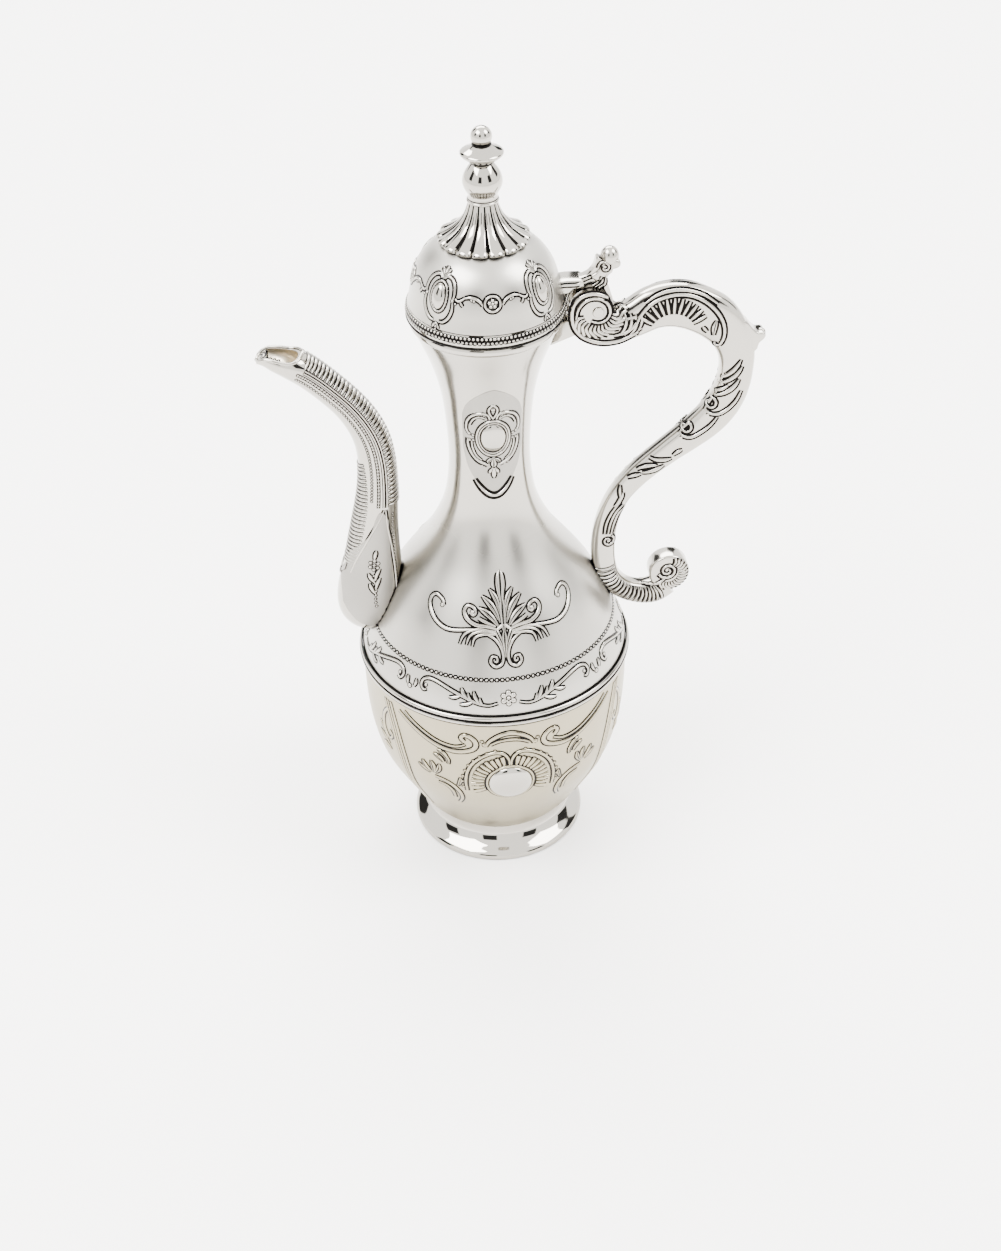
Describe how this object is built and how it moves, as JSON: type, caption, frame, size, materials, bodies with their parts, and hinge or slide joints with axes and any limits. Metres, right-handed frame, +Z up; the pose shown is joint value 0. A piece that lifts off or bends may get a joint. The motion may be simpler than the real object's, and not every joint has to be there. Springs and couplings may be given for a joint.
{
  "type": "dallah coffee pot",
  "caption": "Silver-plated dallah coffee pot with a slender neck, a beaked spout, a scrolled handle and a hinged domed lid with a turned finial.",
  "frame": {"origin": "on the pot's upright axis, in the plane that the foot stands on", "axes": "+Z up along the pot's axis, +X towards the handle, -X towards the spout, Y across; the hinge pin lies along Y"},
  "size_m": [0.1796, 0.1054, 0.3005],
  "materials": {
    "satin_silver": "fine satin silver plate with polished reserves and raised ornament",
    "warm_satin_silver": "pearly satin silver plate, a little warmer, with raised ornament",
    "cast_silver": "bright silver plate over a chased casting, darker in the cuts",
    "polished_silver": "mirror-polished silver plate",
    "steel": "plain bright steel hardware inside the lid"
  },
  "bodies": {
    "pot": {"foot": "polished_silver", "lower_bowl": "warm_satin_silver", "waist_band": "polished_silver", "upper_body": "satin_silver", "lip_ring": "polished_silver", "spout": "cast_silver", "handle": "cast_silver", "hinge_pin": "polished_silver", "neck_cabochons": "polished_silver", "bowl_cabochons": "polished_silver"},
    "lid": {"lid_dome": "satin_silver", "lid_rim": "polished_silver", "lid_bezel": "polished_silver", "lid_arm": "cast_silver", "lid_cabochons": "polished_silver", "finial_calyx": "polished_silver", "finial_baluster": "polished_silver", "finial_disc": "polished_silver", "finial_ball": "polished_silver", "finial_stud": "steel", "finial_nut": "steel", "finial_washer": "steel"}
  },
  "joints": [
    {"name": "lid_hinge", "type": "hinge", "parent": "pot", "child": "lid", "pos_m": [0.0385, 0, 0.2321], "axis": [0, 1, 0], "range_deg": [0, 46]}
  ]
}
